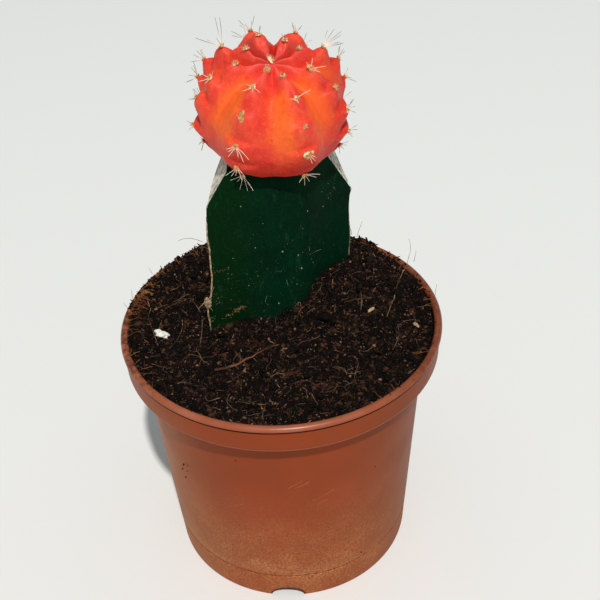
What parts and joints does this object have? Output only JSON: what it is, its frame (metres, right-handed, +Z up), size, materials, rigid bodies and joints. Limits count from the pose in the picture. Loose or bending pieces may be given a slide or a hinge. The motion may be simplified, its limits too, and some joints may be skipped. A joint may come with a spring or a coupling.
{
  "type": "potted moon cactus",
  "caption": "Red ribbed cactus grafted on a green three-angled rootstock, growing in potting soil in a terracotta-coloured round plastic nursery pot.",
  "frame": {"origin": "middle of the pot's foot ring, on the surface that it stands on", "axes": "+Z up; the cactus leans to its front, which looks along -Y; +X is to the right as seen from the front"},
  "size_m": [0.09, 0.09, 0.1573],
  "materials": {
    "pot_plastic": "satin",
    "soil": "matte",
    "rootstock_skin": "satin",
    "cork": "matte",
    "head_skin": "satin",
    "spines": "satin",
    "perlite": "matte",
    "grit": "matte",
    "fibre": "matte"
  },
  "bodies": {
    "root": {"nursery_pot": "pot_plastic", "potting_soil": "soil", "rootstock": "rootstock_skin", "rootstock_bud": "cork", "moon_cactus_head": "head_skin", "spines_rib_1_areole_1": "spines", "spines_rib_1_areole_2": "spines", "spines_rib_1_areole_3": "spines", "spines_rib_1_areole_4": "spines", "spines_rib_1_areole_5": "spines", "spines_rib_1_areole_6": "spines", "spines_rib_2_areole_1": "spines", "spines_rib_2_areole_2": "spines", "spines_rib_2_areole_3": "spines", "spines_rib_2_areole_4": "spines", "spines_rib_2_areole_5": "spines", "spines_rib_3_areole_1": "spines", "spines_rib_3_areole_2": "spines", "spines_rib_3_areole_3": "spines", "spines_rib_3_areole_4": "spines", "spines_rib_3_areole_5": "spines", "spines_rib_4_areole_1": "spines", "spines_rib_4_areole_2": "spines", "spines_rib_4_areole_3": "spines", "spines_rib_4_areole_4": "spines", "spines_rib_4_areole_5": "spines", "spines_rib_5_areole_1": "spines", "spines_rib_5_areole_2": "spines", "spines_rib_5_areole_3": "spines", "spines_rib_5_areole_4": "spines", "spines_rib_5_areole_5": "spines", "spines_rib_6_areole_1": "spines", "spines_rib_6_areole_2": "spines", "spines_rib_6_areole_3": "spines", "spines_rib_6_areole_4": "spines", "spines_rib_6_areole_5": "spines", "spines_rib_7_areole_1": "spines", "spines_rib_7_areole_2": "spines", "spines_rib_7_areole_3": "spines", "spines_rib_7_areole_4": "spines", "spines_rib_7_areole_5": "spines", "spines_rib_8_areole_1": "spines", "spines_rib_8_areole_2": "spines", "spines_rib_8_areole_3": "spines", "spines_rib_8_areole_4": "spines", "spines_rib_8_areole_5": "spines", "perlite_crumb": "perlite", "grit_grain_1": "grit", "grit_grain_2": "grit", "twig": "fibre", "root_fibre_1": "fibre", "root_fibre_2": "fibre", "root_fibre_3": "fibre", "root_fibre_4": "fibre"}
  },
  "joints": []
}
